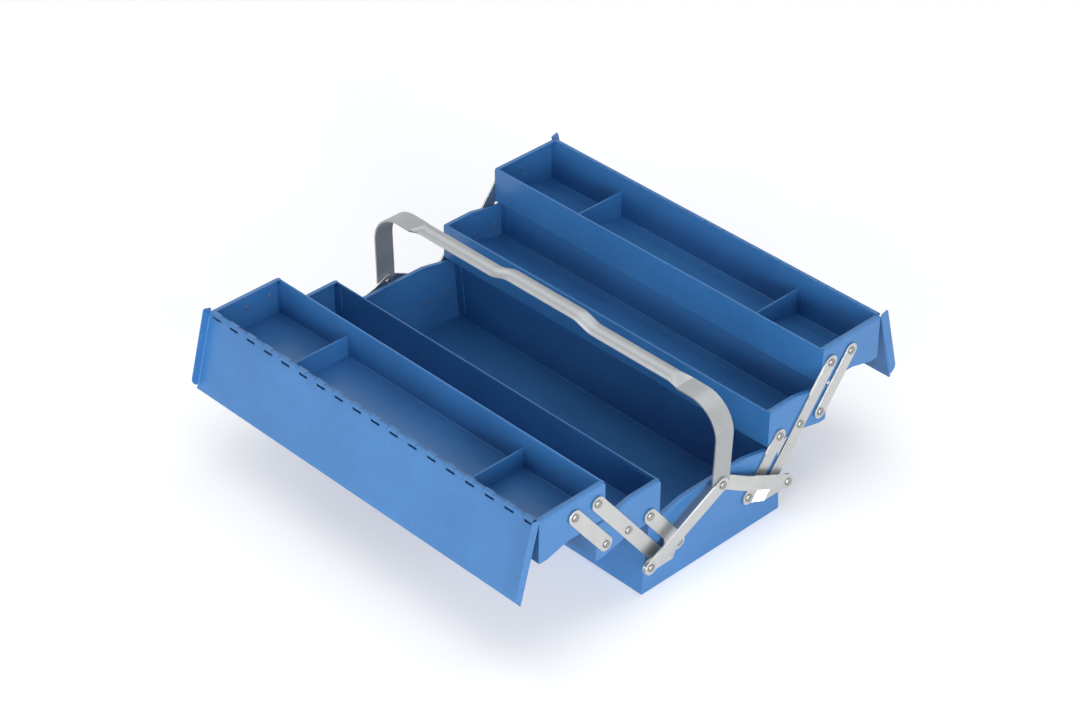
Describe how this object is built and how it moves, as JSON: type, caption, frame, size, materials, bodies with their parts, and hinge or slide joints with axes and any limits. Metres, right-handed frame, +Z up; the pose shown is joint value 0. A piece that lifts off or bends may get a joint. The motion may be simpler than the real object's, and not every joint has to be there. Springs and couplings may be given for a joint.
{
  "type": "cantilever tool box",
  "caption": "Folded-steel cantilever tool box with side trays on parallel links, hinged lids and a strap handle that the linkage lifts.",
  "frame": {"origin": "middle of the base's underside", "axes": "+X along the box, towards the end where the back side's levers pass inside the handle; +Y across it, towards the back; +Z up, from the underside to the trays"},
  "size_m": [0.5006, 0.5406, 0.1964],
  "materials": {
    "blue_paint": "semi-gloss baked paint",
    "zinc_plate": "satin zinc plate",
    "handle_coat": "satin silver-grey coat",
    "rivet_steel": "plated, pressed",
    "wire_steel": "drawn wire"
  },
  "bodies": {
    "base": {"base_pan": "blue_paint", "base_rivets": "rivet_steel"},
    "front_bars": {"front_bar_near": "zinc_plate", "front_bar_far": "zinc_plate"},
    "front_cranks": {"front_crank_near": "zinc_plate", "front_crank_far": "zinc_plate", "front_crank_rivets": "rivet_steel"},
    "front_middle_tray": {"front_middle_tray": "blue_paint", "front_middle_tray_rivets": "rivet_steel"},
    "front_outer_links": {"front_outer_link_near": "zinc_plate", "front_outer_link_far": "zinc_plate"},
    "front_top_tray": {"front_top_tray": "blue_paint", "front_top_tray_rivets": "rivet_steel", "front_divider_near": "blue_paint", "front_divider_far": "blue_paint", "front_hinge_wire": "wire_steel"},
    "front_lid": {"front_lid": "blue_paint"},
    "front_levers": {"front_lever_near": "zinc_plate", "front_lever_far": "zinc_plate", "front_lever_rivets": "rivet_steel"},
    "back_bars": {"back_bar_near": "zinc_plate", "back_bar_far": "zinc_plate"},
    "back_cranks": {"back_crank_near": "zinc_plate", "back_crank_far": "zinc_plate", "back_crank_rivets": "rivet_steel"},
    "back_middle_tray": {"back_middle_tray": "blue_paint", "back_middle_tray_rivets": "rivet_steel"},
    "back_outer_links": {"back_outer_link_near": "zinc_plate", "back_outer_link_far": "zinc_plate"},
    "back_top_tray": {"back_top_tray": "blue_paint", "back_top_tray_rivets": "rivet_steel", "back_divider_near": "blue_paint", "back_divider_far": "blue_paint", "back_hinge_wire": "wire_steel"},
    "back_lid": {"back_lid": "blue_paint"},
    "back_levers": {"back_lever_near": "zinc_plate", "back_lever_far": "zinc_plate", "back_lever_rivets": "rivet_steel"},
    "handle_pins": {"handle_pins": "rivet_steel"},
    "handle": {"handle": "handle_coat"}
  },
  "joints": [
    {"name": "front_bars_fold", "type": "hinge", "parent": "base", "child": "front_bars", "pos_m": [0, -0.0805, 0.0408], "axis": [-1, 0, 0], "range_deg": [0, 67.1]},
    {"name": "front_cranks_fold", "type": "hinge", "parent": "base", "child": "front_cranks", "pos_m": [0, -0.0503, 0.0408], "axis": [-1, 0, 0], "range_deg": [0, 67.1]},
    {"name": "front_middle_tray_level", "type": "hinge", "parent": "front_bars", "child": "front_middle_tray", "pos_m": [0, -0.12269, 0.09539], "axis": [1, 0, 0], "range_deg": [0, 67.1]},
    {"name": "front_outer_links_fold", "type": "hinge", "parent": "front_middle_tray", "child": "front_outer_links", "pos_m": [0, -0.1529, 0.09539], "axis": [-1, 0, 0], "range_deg": [0, 67.1]},
    {"name": "front_top_tray_level", "type": "hinge", "parent": "front_bars", "child": "front_top_tray", "pos_m": [0, -0.16489, 0.14999], "axis": [1, 0, 0], "range_deg": [0, 67.1]},
    {"name": "front_lid_hinge", "type": "hinge", "parent": "front_top_tray", "child": "front_lid", "pos_m": [0, -0.24252, 0.16773], "axis": [-1, 0, 0], "range_deg": [0, 255.1]},
    {"name": "back_bars_fold", "type": "hinge", "parent": "base", "child": "back_bars", "pos_m": [0, 0.0805, 0.0408], "axis": [1, 0, 0], "range_deg": [0, 67.1]},
    {"name": "back_cranks_fold", "type": "hinge", "parent": "base", "child": "back_cranks", "pos_m": [0, 0.0503, 0.0408], "axis": [1, 0, 0], "range_deg": [0, 67.1]},
    {"name": "back_middle_tray_level", "type": "hinge", "parent": "back_bars", "child": "back_middle_tray", "pos_m": [0, 0.12269, 0.09539], "axis": [-1, 0, 0], "range_deg": [0, 67.1]},
    {"name": "back_outer_links_fold", "type": "hinge", "parent": "back_middle_tray", "child": "back_outer_links", "pos_m": [0, 0.1529, 0.09539], "axis": [1, 0, 0], "range_deg": [0, 67.1]},
    {"name": "back_top_tray_level", "type": "hinge", "parent": "back_bars", "child": "back_top_tray", "pos_m": [0, 0.16489, 0.14999], "axis": [-1, 0, 0], "range_deg": [0, 67.1]},
    {"name": "back_lid_hinge", "type": "hinge", "parent": "back_top_tray", "child": "back_lid", "pos_m": [0, 0.24252, 0.16773], "axis": [1, 0, 0], "range_deg": [0, 255.1]},
    {"name": "handle_lift", "type": "slide", "parent": "base", "child": "handle_pins", "axis": [0, 0, 1], "range_m": [0, 0.08152]},
    {"name": "front_levers_turn", "type": "hinge", "parent": "handle_pins", "child": "front_levers", "pos_m": [0, 0, 0.08894], "axis": [1, 0, 0], "range_deg": [0, 24.6]},
    {"name": "back_levers_turn", "type": "hinge", "parent": "handle_pins", "child": "back_levers", "pos_m": [0, 0, 0.08894], "axis": [-1, 0, 0], "range_deg": [0, 24.6]},
    {"name": "handle_swing", "type": "hinge", "parent": "handle_pins", "child": "handle", "pos_m": [0, 0, 0.08894], "axis": [1, 0, 0], "range_deg": [-52, 52]}
  ],
  "couplings": [
    {"joint": "front_cranks_fold", "follows": "front_bars_fold", "ratio": 1},
    {"joint": "front_middle_tray_level", "follows": "front_bars_fold", "ratio": 1},
    {"joint": "front_outer_links_fold", "follows": "front_bars_fold", "ratio": 1},
    {"joint": "front_top_tray_level", "follows": "front_bars_fold", "ratio": 1},
    {"joint": "back_bars_fold", "follows": "front_bars_fold", "ratio": 1},
    {"joint": "back_cranks_fold", "follows": "front_bars_fold", "ratio": 1},
    {"joint": "back_middle_tray_level", "follows": "front_bars_fold", "ratio": 1},
    {"joint": "back_outer_links_fold", "follows": "front_bars_fold", "ratio": 1},
    {"joint": "back_top_tray_level", "follows": "front_bars_fold", "ratio": 1},
    {"joint": "handle_lift", "follows": "front_bars_fold", "m_per_rad": 0.069609},
    {"joint": "front_levers_turn", "follows": "front_bars_fold", "ratio": 0.36663},
    {"joint": "back_levers_turn", "follows": "front_bars_fold", "ratio": 0.36663}
  ]
}
